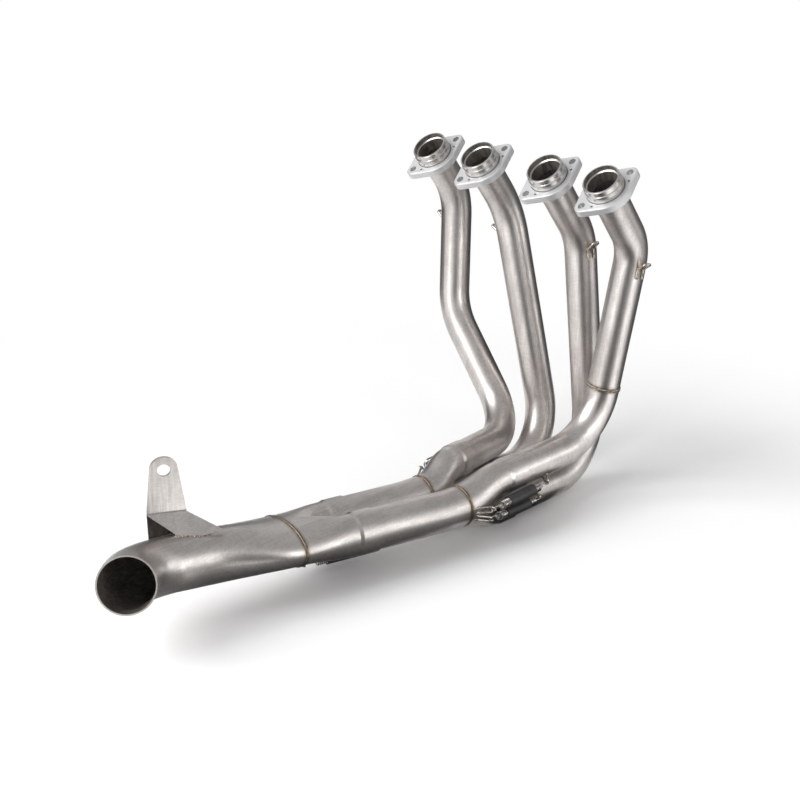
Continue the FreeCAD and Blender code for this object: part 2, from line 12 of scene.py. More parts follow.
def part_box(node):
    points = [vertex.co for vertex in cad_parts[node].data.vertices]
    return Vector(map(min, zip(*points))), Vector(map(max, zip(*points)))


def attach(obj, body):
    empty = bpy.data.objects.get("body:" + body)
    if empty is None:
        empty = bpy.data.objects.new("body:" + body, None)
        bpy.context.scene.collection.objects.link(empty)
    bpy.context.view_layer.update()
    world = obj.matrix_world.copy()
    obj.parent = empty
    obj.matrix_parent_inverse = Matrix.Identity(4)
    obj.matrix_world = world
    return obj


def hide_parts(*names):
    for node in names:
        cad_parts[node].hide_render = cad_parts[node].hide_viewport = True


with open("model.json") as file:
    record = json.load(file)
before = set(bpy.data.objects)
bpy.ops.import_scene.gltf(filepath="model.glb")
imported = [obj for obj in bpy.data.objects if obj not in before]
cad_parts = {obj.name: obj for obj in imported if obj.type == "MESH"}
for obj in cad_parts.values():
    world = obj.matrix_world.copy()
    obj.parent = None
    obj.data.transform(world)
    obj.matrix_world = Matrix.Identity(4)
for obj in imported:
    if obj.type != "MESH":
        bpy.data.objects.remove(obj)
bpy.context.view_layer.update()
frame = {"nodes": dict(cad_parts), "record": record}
nodes = frame["nodes"]
mounts = {m["name"]: m for m in frame["record"]["mounts"]}
print("frame loaded:", len(nodes), "nodes")


# Reading places off the frame

def vertexArray(node):
    flat = np.zeros(len(nodes[node].data.vertices) * 3)
    nodes[node].data.vertices.foreach_get("co", flat)
    return flat.reshape(-1, 3)


def endFace(node, guess, tilt=0.75):  # the flat end of a tube that looks most nearly along guess
    mesh = nodes[node].data
    guess = Vector(guess).normalized()
    planes = {}
    for face in mesh.polygons:
        if face.normal.dot(guess) < tilt:
            continue
        offset = face.normal.dot(face.center)
        key = tuple(round(c, 2) for c in face.normal) + (round(offset, 4),)
        planes.setdefault(key, []).append(face)
    faces = max(planes.values(), key=lambda found: (len(found), found[0].center.dot(guess)))
    area = sum(face.area for face in faces)
    centre = sum((face.center * face.area for face in faces), Vector()) / area
    normal = sum((face.normal * face.area for face in faces), Vector()).normalized()
    corners = {index for face in faces for index in face.vertices}
    reach = [(mesh.vertices[index].co - centre).length for index in corners]
    return {"centre": centre, "normal": normal, "inner": min(reach), "outer": max(reach)}


def frameMatrix(centre, zAxis, xHint):  # local Z along zAxis, local X near xHint
    z = Vector(zAxis).normalized()
    x = (Vector(xHint) - z * Vector(xHint).dot(z)).normalized()
    y = z.cross(x)
    turn = Matrix((x, y, z)).transposed().to_4x4()
    return Matrix.Translation(centre) @ turn


weldRings = {
    "right": endFace("mid_pipe_right", (0, 1, 0)),
    "left": endFace("mid_pipe_left", (0, 1, 0)),
    "final": endFace("outlet_pipe", (0, 1, 0)),
    "tube4": endFace("primary_tube_4_upper", (0, 0, -1)),
}
wallThickness = {"right": 0.0012, "left": 0.0012, "final": 0.0015, "tube4": 0.0012}
for ringName, ring in weldRings.items():
    ring["wall"] = wallThickness[ringName]
    print("weld", ringName, "radii", round(ring["outer"], 4), round(ring["inner"], 4))
portRow = sum((Vector(mounts[f"port_studs_{k}"]["pos_m"]) for k in (1, 2, 3, 4)), Vector()) / 4


# Shader maths

class Wire:  # a socket that takes part in Python expressions
    def __init__(self, finish, socket):
        self.finish = finish
        self.socket = socket

    def maths(self, operation, *values):
        return self.finish.add("ShaderNodeMath", {"operation": operation}, list(values))

    def __add__(self, other):
        return self.maths("ADD", self, other)

    __radd__ = __add__

    def __sub__(self, other):
        return self.maths("SUBTRACT", self, other)

    def __rsub__(self, other):
        return self.maths("SUBTRACT", other, self)

    def __mul__(self, other):
        return self.maths("MULTIPLY", self, other)

    __rmul__ = __mul__

    def __abs__(self):
        return self.maths("ABSOLUTE", self)

    def most(self, other):
        return self.maths("MAXIMUM", self, other)


class Finish:  # a material and the one way to add nodes to it
    def __init__(self, name, tree=None):
        if tree is None:
            self.material = bpy.data.materials.new(name)
            self.material.use_nodes = True
            tree = self.material.node_tree
        self.tree = tree
        tree.nodes.clear()

    def add(self, kind, settings, values, output=0):
        node = self.tree.nodes.new(kind)
        for key, value in settings.items():
            if key == "stops":
                self.setStops(node.color_ramp, value)
            else:
                setattr(node, key, value)
        pairs = values.items() if isinstance(values, dict) else enumerate(values)
        for key, value in pairs:
            if isinstance(value, Wire):
                self.tree.links.new(value.socket, node.inputs[key])
            else:
                node.inputs[key].default_value = value
        return Wire(self, node.outputs[output]) if node.outputs else None

    def setStops(self, ramp, stops):
        while len(ramp.elements) < len(stops):
            ramp.elements.new(1.0)
        for element, (place, colour) in zip(ramp.elements, stops):
            element.position = place
            element.color = colour if len(colour) == 4 else (*colour, 1.0)

    def objectPoint(self):
        return self.add("ShaderNodeTexCoord", {}, [], "Object")

    def scaled(self, point, scale):
        return self.add("ShaderNodeMapping", {}, {"Vector": point, "Scale": scale})

    def grain(self, point, scale, detail=2.0, rough=0.5):
        sockets = {"Vector": point, "Scale": scale, "Detail": detail, "Roughness": rough}
        return self.add("ShaderNodeTexNoise", {}, sockets)

    def ramp(self, value, low, high, start=0.0, end=1.0):
        settings = {"interpolation_type": "SMOOTHSTEP"}
        return self.add("ShaderNodeMapRange", settings, [value, low, high, start, end])

    def blend(self, factor, first, second):
        settings = {"data_type": "RGBA", "blend_type": "MIX"}
        return self.add("ShaderNodeMix", settings, {0: factor, 6: first, 7: second}, 2)

    def away(self, point, place):
        settings = {"operation": "SUBTRACT"}
        return self.add("ShaderNodeVectorMath", settings, {0: point, 1: tuple(place)})

    def along(self, offset, axis):
        settings = {"operation": "DOT_PRODUCT"}
        return self.add("ShaderNodeVectorMath", settings, {0: offset, 1: tuple(axis)}, "Value")

    def reach(self, offset):
        return self.add("ShaderNodeVectorMath", {"operation": "LENGTH"}, {0: offset}, "Value")

    def bump(self, height, strength, distance):
        sockets = {"Height": height, "Strength": strength, "Distance": distance}
        return self.add("ShaderNodeBump", {}, sockets)

    def surface(self, sockets):
        shader = self.add("ShaderNodeBsdfPrincipled", {}, sockets)
        self.add("ShaderNodeOutputMaterial", {}, {"Surface": shader})
        return self.material


# Finishes

steel = {
    "colour": (0.67, 0.635, 0.612),
    "shade": (0.47, 0.440, 0.422),
    "straw": (0.45, 0.365, 0.275),
    "scorch": (0.12, 0.09, 0.07),
    "roughness": 0.37,
    "uneven": {"cloud": 0.16, "brushed": 0.22, "smear": 0.10},
    "shares": {"cloud": 0.3, "smear": 0.2, "brushed": 0.3, "hatch": 0.2},
    "mottle": (0.40, 0.60, 0.0, 0.85),  # from, to, least and most of the darker shade
    "cloudScale": 16.0,
    "smearShare": 0.12,  # the broad streaks against the fine brushing
    "scratch": 0.2,
    "scratchDepth": 0.0002,
    "ringHeat": 0.0075,  # reach of the tint from a weld ring, in metres
    "ringOver": 1.25,
    "ringFade": 0.004,
    "spotHeat": 0.019,  # and from the foot of a hook or ear
    "spotCore": 0.002,
    "wanderScale": 260.0,
    "strawRange": (0.1, 0.7, 0.0, 0.7),
    "scorchRange": (0.62, 0.95, 0.0, 0.8),
    "scorchDull": 0.15,
}
brush = {"upright": (700.0, 700.0, 40.0), "lying": (700.0, 40.0, 700.0), "round": 170.0, "cross": 950.0}
soot = {
    "colour": (0.13, 0.118, 0.108),
    "streak": (0.045, 0.040, 0.037),
    "roughness": 0.5,
    "metal": 0.45,
    "cloudScale": 55.0,
    "streaks": (0.36, 0.66),
    "relief": 0.2,
    "depth": 0.0003,
}


def tint(colour):
    return (*colour, 1.0)


def heatMask(finish, point, rings, spots):  # how hot each place was: 1 on a weld, 0 away from it
    heat = None
    for ring in rings:
        offset = finish.away(point, ring["centre"])
        near = abs(finish.along(offset, ring["normal"]) + bead["inset"])
        far = finish.reach(offset)
        limit = ring["outer"] * steel["ringOver"]
        inside = finish.ramp(far, limit + steel["ringFade"], limit)
        here = finish.ramp(near, steel["ringHeat"], 0.0) * inside
        heat = here if heat is None else heat.most(here)
    for spot in spots:
        far = finish.reach(finish.away(point, spot))
        here = finish.ramp(far, steel["spotHeat"], steel["spotCore"])
        heat = here if heat is None else heat.most(here)
    return heat


def crossed(stretch):  # the fine scratches that run round a pipe, across its brushing
    return tuple(brush["cross"] if c == min(stretch) else brush["round"] for c in stretch)


def steelFinish(name, stretch, rings=(), spots=()):
    finish = Finish(name)
    point = finish.objectPoint()
    brushed = finish.grain(finish.scaled(point, stretch), 1.0, 3.0, 0.65)
    cloud = finish.grain(point, steel["cloudScale"], 3.0, 0.6)
    broad = tuple(c * steel["smearShare"] for c in stretch)
    smear = finish.grain(finish.scaled(point, broad), 1.0, 2.0, 0.5)
    hatch = finish.grain(finish.scaled(point, crossed(stretch)), 1.0, 2.0, 0.5)
    share, uneven = steel["shares"], steel["uneven"]
    mixed = cloud * share["cloud"] + smear * share["smear"]
    mixed = mixed + brushed * share["brushed"] + hatch * share["hatch"]
    mottle = finish.ramp(mixed, *steel["mottle"])
    colour = finish.blend(mottle, tint(steel["colour"]), tint(steel["shade"]))
    roughness = steel["roughness"] + uneven["cloud"] * (cloud - 0.5)
    roughness = roughness + uneven["brushed"] * (brushed - 0.5) + uneven["smear"] * (smear - 0.5)
    heat = heatMask(finish, point, rings, spots)
    if heat is not None:
        wander = heat * (0.7 + 0.6 * finish.grain(point, steel["wanderScale"], 2.0))
        straw = finish.ramp(wander, *steel["strawRange"])
        scorch = finish.ramp(wander, *steel["scorchRange"])
        colour = finish.blend(straw, colour, tint(steel["straw"]))
        colour = finish.blend(scorch, colour, tint(steel["scorch"]))
        roughness = roughness + steel["scorchDull"] * scorch
    normal = finish.bump(brushed * 0.5 + hatch * 0.5, steel["scratch"], steel["scratchDepth"])
    return finish.surface({"Base Color": colour, "Metallic": 1.0, "Roughness": roughness, "Normal": normal})


# The lift scales the soot colour. Above 1 it is painted light in the bores, so their sooty insides read
# lighter. At 0.55 it is painted shade on the bracket leg.
def sootAndPaintedLightFinish(name, stretch, lift=1.0):  # inside of a pipe, dulled by heat
    finish = Finish(name)
    point = finish.objectPoint()
    drawn = finish.grain(finish.scaled(point, stretch), 1.0, 3.0, 0.6)
    cloud = finish.grain(point, soot["cloudScale"], 3.0, 0.6)
    pale = tint(c * lift for c in soot["colour"])
    dark = tint(c * lift for c in soot["streak"])
    streaks = finish.ramp(drawn * 0.6 + cloud * 0.4, *soot["streaks"])
    colour = finish.blend(streaks, pale, dark)
    roughness = soot["roughness"] + 0.2 * (cloud - 0.5)
    normal = finish.bump(drawn, soot["relief"], soot["depth"])
    sockets = {"Base Color": colour, "Roughness": roughness, "Normal": normal}
    return finish.surface({"Metallic": soot["metal"], **sockets})


flangeLook = {
    "pale": (0.72, 0.72, 0.725),
    "dull": (0.64, 0.64, 0.645),
    "metal": 0.6,
    "roughness": 0.46,
    "gritScale": 1500.0,
    "cloudScale": 60.0,
    "wideScale": 22.0,
    "patches": (0.35, 0.65),
    "relief": 0.22,
    "depth": 0.0002,
}


def flangeFinish():  # satin cast plate
    finish = Finish("flangeSatin")
    point = finish.objectPoint()
    grit = finish.grain(point, flangeLook["gritScale"], 2.0)
    cloud = finish.grain(point, flangeLook["cloudScale"], 2.0)
    wide = finish.grain(point, flangeLook["wideScale"], 2.0)
    patches = finish.ramp(cloud * 0.5 + wide * 0.5, *flangeLook["patches"])
    colour = finish.blend(patches, tint(flangeLook["pale"]), tint(flangeLook["dull"]))
    normal = finish.bump(grit, flangeLook["relief"], flangeLook["depth"])
    roughness = flangeLook["roughness"] + 0.14 * (cloud - 0.5)
    sockets = {"Base Color": colour, "Roughness": roughness, "Normal": normal}
    return finish.surface({"Metallic": flangeLook["metal"], **sockets})


collarLook = {
    "bright": (0.66, 0.64, 0.62),
    "dull": (0.50, 0.48, 0.46),
    "cutScale": 3200.0,
    "bandScale": 500.0,
    "bands": (0.35, 0.7),
    "cuts": (0.4, 0.7),
    "roughness": 0.24,
    "relief": 0.12,
    "depth": 0.00015,
}


def collarFinish(index):  # tool marks run round the collar's own axis
    finish = Finish(f"collarTurned{index}")
    seat = mounts[f"gasket_seat_{index}"]
    point = finish.objectPoint()
    offset = finish.away(point, seat["pos_m"])
    height = finish.along(offset, seat["axis"])
    across = finish.reach(offset)
    lines = finish.add("ShaderNodeCombineXYZ", {}, [height, across, 0.0])
    cut = finish.grain(lines, collarLook["cutScale"], 2.0)
    wide = finish.grain(lines, collarLook["bandScale"], 1.0)
    bands = finish.ramp(wide, *collarLook["bands"])
    colour = finish.blend(bands, tint(collarLook["bright"]), tint(collarLook["dull"]))
    normal = finish.bump(cut, collarLook["relief"], collarLook["depth"])
    roughness = collarLook["roughness"] + 0.14 * finish.ramp(cut, *collarLook["cuts"])
    return finish.surface({"Base Color": colour, "Metallic": 1.0, "Roughness": roughness, "Normal": normal})


rubberLook = {
    "dark": (0.020, 0.019, 0.020),
    "light": (0.042, 0.040, 0.041),
    "scuff": (0.10, 0.095, 0.095),
    "scuffStretch": (900.0, 160.0, 900.0),
    "gritScale": 1100.0,
    "cloudScale": 120.0,
    "scuffs": (0.58, 0.75, 0.0, 0.35),
    "roughness": 0.5,
    "relief": 0.35,
    "depth": 0.0002,
}


def rubberFinish():
    finish = Finish("sleeveRubber")
    point = finish.objectPoint()
    grit = finish.grain(point, rubberLook["gritScale"], 3.0)
    cloud = finish.grain(point, rubberLook["cloudScale"], 2.0)
    rubbed = finish.grain(finish.scaled(point, rubberLook["scuffStretch"]), 1.0, 2.0)
    scuffs = finish.ramp(rubbed, *rubberLook["scuffs"])
    colour = finish.blend(cloud, tint(rubberLook["dark"]), tint(rubberLook["light"]))
    colour = finish.blend(scuffs, colour, tint(rubberLook["scuff"]))
    normal = finish.bump(grit, rubberLook["relief"], rubberLook["depth"])
    roughness = rubberLook["roughness"] + 0.2 * (grit - 0.5)
    return finish.surface({"Base Color": colour, "Roughness": roughness, "Normal": normal})


wireLooks = {  # name: bright metal, stain, roughness
    "springBright": ((0.62, 0.60, 0.58), (0.33, 0.30, 0.27), 0.22),
    "hookDrawn": ((0.60, 0.56, 0.51), (0.25, 0.21, 0.17), 0.26),
    "weldMetal": ((0.50, 0.478, 0.455), (0.21, 0.188, 0.168), 0.40),
    "weldBrown": ((0.36, 0.30, 0.25), (0.14, 0.11, 0.09), 0.45),
}
wireGrain = {
    "stainScale": 320.0,
    "stains": (0.42, 0.66, 0.0, 0.8),
    "pitScale": 2500.0,
    "relief": 0.12,
    "depth": 0.0001,
}


def wireFinish(name):
    bright, stain, roughness = wireLooks[name]
    finish = Finish(name)
    point = finish.objectPoint()
    cloud = finish.grain(point, wireGrain["stainScale"], 3.0)
    colour = finish.blend(finish.ramp(cloud, *wireGrain["stains"]), tint(bright), tint(stain))
    pits = finish.grain(point, wireGrain["pitScale"], 1.0)
    normal = finish.bump(pits, wireGrain["relief"], wireGrain["depth"])
    roughness = roughness + 0.2 * (cloud - 0.5)
    return finish.surface({"Base Color": colour, "Metallic": 1.0, "Roughness": roughness, "Normal": normal})


def meshTree(node):
    mesh = nodes[node].data
    return BVHTree.FromPolygons([v.co for v in mesh.vertices], [p.vertices[:] for p in mesh.polygons])


bore = {"span": 0.046, "widest": 0.09, "narrowest": 0.012, "lift": 0.0001, "facing": -0.5}


def dress(node, outside, inside=None, span=bore["span"]):
    # The inside finish goes on the faces that look across a bore at their own far wall
    mesh = nodes[node].data
    mesh.materials.clear()
    mesh.materials.append(outside)
    slots = np.zeros(len(mesh.polygons), dtype=np.int32)
    if inside is not None:
        mesh.materials.append(inside)
        tree = meshTree(node)
        for face in mesh.polygons:
            start = face.center + face.normal * bore["lift"]
            spot, normal, index, gap = tree.ray_cast(start, face.normal, span)
            if spot is None or gap <= bore["narrowest"]:
                continue
            if normal.dot(face.normal) < bore["facing"]:
                slots[face.index] = 1
    mesh.polygons.foreach_set("material_index", slots)
    mesh.update()


flangeMetal = flangeFinish()
rubber = rubberFinish()
springWire = wireFinish("springBright")
hookWire = wireFinish("hookDrawn")
weldMetal = wireFinish("weldMetal")
weldBrown = wireFinish("weldBrown")
# Painted shade: the bracket leg gets a dark soot sheet, 0.55 of the soot colour, where it lies in shadow
# under the foot.
paintedShadeLeg = sootAndPaintedLightFinish("legScaled", (300.0, 300.0, 60.0), 0.55)
# Lighter copies of the soot for the insides: the lifts of 2, 2.2 and 3 are painted light over the real
# sooty tone.
innerUpright = sootAndPaintedLightFinish("innerUpright", (500.0, 500.0, 30.0), 2.0)
innerLying = sootAndPaintedLightFinish("innerLying", (500.0, 30.0, 500.0), 2.2)
innerCollar = sootAndPaintedLightFinish("innerCollar", (420.0, 60.0, 60.0), 3.0)
spans = {name: bore["widest"] for name in ("outlet_pipe", "final_branch_left", "final_branch_right")}
ringsByNode = {
    "mid_pipe_right": ["right"],
    "mid_pipe_left": ["left"],
    "collector_branch_1": ["left"],
    "collector_branch_2": ["left"],
    "collector_branch_3": ["right"],
    "collector_branch_4": ["right"],
    "final_branch_left": ["final"],
    "final_branch_right": ["final"],
    "outlet_pipe": ["final"],
    "primary_tube_4_upper": ["tube4"],
    "primary_tube_4_lower": ["tube4"],
}
bead = {
    "radius": 0.00095,
    "sides": 8,
    "ripple": 0.0017,
    "rippleSteps": 4,
    "depth": 0.00022,
    "inset": 0.0011,
    "wanderTurns": 9,
    "wanderSeed": 50,
    "sway": 1.5,
}


def centreOf(node):
    low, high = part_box(node)
    return (low + high) / 2


for node in sorted(nodes):
    if node.startswith("port_flange"):
        dress(node, flangeMetal)
    elif node.startswith("port_collar"):
        dress(node, collarFinish(node[-1]), innerCollar)
    elif node.startswith("spring_sleeve"):
        dress(node, rubber)
    elif node.startswith("spring"):
        dress(node, springWire)
    elif node.startswith(("tube_hook", "branch_hook", "tube_ear")):
        dress(node, hookWire)
    # The bracket leg is darkened as painted shade.
    elif node == "bracket_leg":
        dress(node, paintedShadeLeg)
    else:
        rings = [weldRings[name] for name in ringsByNode.get(node, [])]
        standing = node.startswith(("primary", "hanger"))
        number = node.replace("primary_tube_", "")[:1]
        spots = []
        if node.startswith("primary_tube") and node != "primary_tube_4_lower":
            spots.append(centreOf("tube_ear_" + number))
        if node.startswith("primary_tube") and node != "primary_tube_4_upper":
            spots.append(centreOf("tube_hook_" + number))
        outside = steelFinish(node + "Steel", brush["upright" if standing else "lying"], rings, spots)
        if node == "hanger_bracket":
            dress(node, outside)
        else:
            dress(node, outside, innerUpright if standing else innerLying, spans.get(node, bore["span"]))
print("finishes done:", len(bpy.data.materials))


# New pieces: welds and coiled springs

blob = {
    "wide": 0.0021,
    "tall": 0.0013,
    "overlap": 0.0012,
    "step": 0.0017,
    "tack": 0.0012,
    "touch": 0.00012,  # a corner this near its carrier's skin is on it
    "beside": 0.025,
    "lumpGrain": 700,
    "lump": 0.25,
    "sizeGrain": 900,
    "sizeSpread": 0.2,
    "fewest": 6,
}
coil = {
    "wire": 0.00078,
    "radius": 0.00445,
    "loop": 0.00235,
    "margin": 0.014,
    "lift": 0.0021,
    "pitch": 0.0023,
    "sides": 8,
    "turnSteps": 20,
    "eyeSteps": 26,
    "elbowSteps": 6,
    "hookSteps": 10,
    "eye": math.radians(310),
}


def newPiece(bm, name, material):
    bmesh.ops.recalc_face_normals(bm, faces=bm.faces)
    for face in bm.faces:
        face.smooth = True
    mesh = bpy.data.meshes.new(name)
    bm.to_mesh(mesh)
    bm.free()
    mesh.materials.append(material)
    piece = bpy.data.objects.new(name, mesh)
    bpy.context.scene.collection.objects.link(piece)
    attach(piece, "root")
    return piece


def weldBead(ringName, ring):  # rippled bead round a pipe end, round or with its long side along X
    wide, tall = ring["outer"], ring["inner"] + ring["wall"]
    perimeter = math.pi * (3 * (wide + tall) - math.sqrt((3 * wide + tall) * (wide + 3 * tall)))
    ripples = round(perimeter / bead["ripple"])
    bm = bmesh.new()
    upright = Matrix.Rotation(math.pi / 2, 4, "X")
    where = Matrix.Translation((1, 0, 0)) @ upright
    bmesh.ops.create_circle(bm, segments=bead["sides"], radius=bead["radius"], matrix=where)
    bmesh.ops.spin(
        bm,
        geom=bm.verts[:] + bm.edges[:],
        cent=(0, 0, 0),
        axis=(0, 0, 1),
        angle=2 * math.pi,
        steps=ripples * bead["rippleSteps"],
        use_merge=True,
    )
    for vert in bm.verts:
        angle = math.atan2(vert.co.y, vert.co.x)
        proud = math.hypot(vert.co.x, vert.co.y) - 1
        spot = Vector((wide * math.cos(angle), tall * math.sin(angle), 0))
        outward = Vector((math.cos(angle) / wide, math.sin(angle) / tall, 0)).normalized()
        place = Vector((angle * bead["wanderTurns"], 0, wide * bead["wanderSeed"]))
        wander = noise.noise(place) * bead["depth"]
        swell = bead["depth"] * math.cos(angle * ripples) + wander
        grow = 1 + swell / bead["radius"]
        vert.co = spot + outward * proud * grow + Vector((0, 0, vert.co.z * grow + wander * bead["sway"]))
    centre = ring["centre"] - ring["normal"] * bead["inset"]
    bmesh.ops.transform(bm, matrix=frameMatrix(centre, ring["normal"], (1, 0, 0)), verts=bm.verts)
    return newPiece(bm, "weld_ring_" + ringName, weldMetal)


def contactPoints(node, carrier):  # where a node's corners lie on its carrier's skin
    tree = meshTree(carrier)
    spots = {}
    for vert in nodes[node].data.vertices:
        spot, normal, index, gap = tree.find_nearest(vert.co, blob["touch"])
        if spot is not None:
            spots[vert.index] = (spot, normal)
    return spots


def runDirection(carrier, place):  # which way a pipe runs beside a place
    faces = [f for f in nodes[carrier].data.polygons if (f.center - place).length < blob["beside"]]
    spread = np.array([tuple(face.normal) for face in faces])
    return Vector(np.linalg.svd(spread, full_matrices=False)[2][-1])


def addBlob(bm, at, out, along, size):  # a lump of weld metal on a surface
    start = len(bm.verts)
    bmesh.ops.create_icosphere(bm, subdivisions=3, radius=1)
    bm.verts.ensure_lookup_table()
    verts = bm.verts[start:]
    for vert in verts:
        vert.co = Vector((vert.co.x * size[0], vert.co.y * size[1], vert.co.z * size[2]))
    bmesh.ops.transform(bm, matrix=frameMatrix(at, out, along), verts=verts)
    for vert in verts:
        vert.co += (vert.co - at) * (noise.noise(vert.co * blob["lumpGrain"]) * blob["lump"])


def footWelds(bm, node, carrier):  # one lump of weld along each leg of a wire hook or ear
    found = list(contactPoints(node, carrier).values())
    if len(found) < blob["fewest"]:
        print("no contact for", node)
        return
    middle = sum((spot for spot, normal in found), Vector()) / len(found)
    axis = runDirection(carrier, middle)
    low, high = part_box(node)
    out = (low + high) / 2 - middle
    out = (out - axis * out.dot(axis)).normalized()
    side = axis.cross(out)
    for sign in (-1, 1):
        leg = [(spot, normal) for spot, normal in found if (spot - middle).dot(side) * sign > 0]
        reach = [(spot - middle).dot(axis) for spot, normal in leg]
        centre = sum((spot for spot, normal in leg), Vector()) / len(leg)
        normal = sum((normal for spot, normal in leg), Vector()).normalized()
        half = (max(reach) - min(reach)) / 2 + blob["overlap"]
        centre += axis * ((max(reach) + min(reach)) / 2 - (centre - middle).dot(axis))
        addBlob(bm, centre, normal, axis, (half, blob["wide"], blob["tall"]))


def edgeTacks(bm, node, carrier):  # a row of small tacks where a sheet stands on a pipe
    near = contactPoints(node, carrier)
    placed = []
    for edge in nodes[node].data.edges:
        a, b = edge.vertices
        if a not in near or b not in near:
            continue
        length = (near[a][0] - near[b][0]).length
        count = max(1, math.ceil(length / blob["step"]))
        for step in range(count + 1):
            spot = near[a][0].lerp(near[b][0], step / count)
            if all((spot - other).length > blob["step"] for other in placed):
                placed.append(spot)
                size = blob["tack"] * (1 + blob["sizeSpread"] * noise.noise(spot * blob["sizeGrain"]))
                out = near[a][1]
                side = (0, 0, 1) if abs(out.z) < 0.7 else (1, 0, 0)
                addBlob(bm, spot, out, side, (size, size, size))
    print("tacks", node, len(placed))


class Bender:  # wire bent step by step from its last ring
    def __init__(self, centre, heading, side):
        self.bm = bmesh.new()
        where = frameMatrix(centre, heading, side)
        bmesh.ops.create_circle(self.bm, segments=coil["sides"], radius=coil["wire"], matrix=where)
        self.ring = self.bm.verts[:] + self.bm.edges[:]

    def turn(self, centre, axis, angle, steps, rise=Vector()):
        made = bmesh.ops.spin(
            self.bm,
            geom=self.ring,
            cent=centre,
            axis=axis,
            dvec=rise / steps,
            angle=angle,
            steps=steps,
            use_duplicate=False,
        )
        self.ring = made["geom_last"]

    def run(self, offset):
        edges = [item for item in self.ring if isinstance(item, bmesh.types.BMEdge)]
        made = bmesh.ops.extrude_edge_only(self.bm, edges=edges)["geom"]
        verts = [item for item in made if isinstance(item, bmesh.types.BMVert)]
        bmesh.ops.translate(self.bm, verts=verts, vec=offset)
        self.ring = verts + [item for item in made if isinstance(item, bmesh.types.BMEdge) and
                             all(vert in verts for vert in item.verts)]

    def close(self):
        bmesh.ops.holes_fill(self.bm, edges=self.bm.edges[:], sides=0)
        return self.bm


def barrelOf(node):  # middle and direction of a round sleeve
    points = np.unique(vertexArray(node).round(6), axis=0)
    middle = points.mean(axis=0)
    axis = np.linalg.svd(points - middle, full_matrices=False)[2][0]
    high = (points - middle) @ axis > 0
    run = points[high].mean(axis=0) - points[~high].mean(axis=0)
    return (points[high].mean(axis=0) + points[~high].mean(axis=0)) / 2, run / np.linalg.norm(run)


def springPins(name):  # where the spring hooks on, and the bar at each end
    middle, axis = barrelOf("spring_sleeve_" + name)
    points = vertexArray("spring_" + name)
    along = (points - middle) @ axis
    reach = coil["loop"] + coil["wire"]
    found = []
    for far in (along.min() + reach, along.max() - reach):
        pin = middle + axis * far
        near = points[np.linalg.norm(points - pin, axis=1) < reach + 0.0001]
        bar = np.linalg.svd(near - near.mean(axis=0), full_matrices=False)[2][-1]
        found.append((Vector(pin), Vector(bar)))
    return found, Vector(axis)


def eyeFrame(bar, inward):  # side, axis and left of the eye that hooks a spring on a bar
    bar = (bar - inward * bar.dot(inward)).normalized()
    side = bar.cross(inward)
    return side, side.cross(inward), inward.cross(side)


def coilSpring(name):
    ((pin, bar), (farPin, farBar)), pull = springPins(name)
    loop, radius, lift, eye = coil["loop"], coil["radius"], coil["lift"], coil["eye"]
    eyeSteps, elbowSteps, hookSteps = coil["eyeSteps"], coil["elbowSteps"], coil["hookSteps"]
    tail = coil["margin"] - loop - lift
    side, eyeAxis, left = eyeFrame(bar, pull)
    farAxis, farLeft = eyeFrame(farBar, -pull)[1:]
    start = Matrix.Rotation(-eye, 4, eyeAxis) @ side
    bender = Bender(pin + start * loop, eyeAxis.cross(start), eyeAxis)
    bender.turn(pin, eyeAxis, eye, eyeSteps)
    bender.run(pull * tail)
    bender.turn(pin + pull * tail, eyeAxis, math.pi / 2, elbowSteps)
    bender.turn(pin - left * (radius / 2), pull, math.pi, hookSteps, pull * lift)
    body = (farPin - pin).length - 2 * coil["margin"]
    phase = math.atan2(pull.dot(left.cross(farLeft)), left.dot(farLeft)) / (2 * math.pi)
    turns = round(body / coil["pitch"] - phase) + phase
    bender.turn(pin, pull, turns * 2 * math.pi, round(turns * coil["turnSteps"]), pull * body)
    bender.turn(farPin - farLeft * (radius / 2), pull, math.pi, hookSteps, pull * lift)
    bender.turn(farPin - pull * tail, -farAxis, math.pi / 2, elbowSteps)
    bender.run(pull * tail)
    bender.turn(farPin, -farAxis, eye, eyeSteps)
    piece = newPiece(bender.close(), "coil_spring_" + name, springWire)
    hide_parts("spring_" + name)
    return piece


newWelds = [weldBead(ringName, ring) for ringName, ring in weldRings.items()]
feet = bmesh.new()
for number in "1234":
    lower = "primary_tube_4_lower" if number == "4" else "primary_tube_" + number
    footWelds(feet, "tube_hook_" + number, lower)
    footWelds(feet, "branch_hook_" + number, "collector_branch_" + number)
for name in ("left", "right"):
    footWelds(feet, "tube_hook_" + name, "mid_pipe_" + name)
    footWelds(feet, "branch_hook_" + name, "final_branch_" + name)
newWelds.append(newPiece(feet, "weld_hook_feet", weldMetal))
ears = bmesh.new()
for number in "1234":
    upper = "primary_tube_4_upper" if number == "4" else "primary_tube_" + number
    footWelds(ears, "tube_ear_" + number, upper)
newWelds.append(newPiece(ears, "weld_ear_feet", weldMetal))
tacks = bmesh.new()
edgeTacks(tacks, "hanger_bracket", "outlet_pipe")
edgeTacks(tacks, "bracket_leg", "outlet_pipe")
newWelds.append(newPiece(tacks, "weld_bracket_foot", weldBrown))
coils = [coilSpring(name) for name in ("1", "2", "3", "4", "left", "right")]
print("welds and springs done:", sum(len(piece.data.polygons) for piece in newWelds + coils), "faces")


# Floor, cards, lamps, world and camera: the cards are seen only in the metal

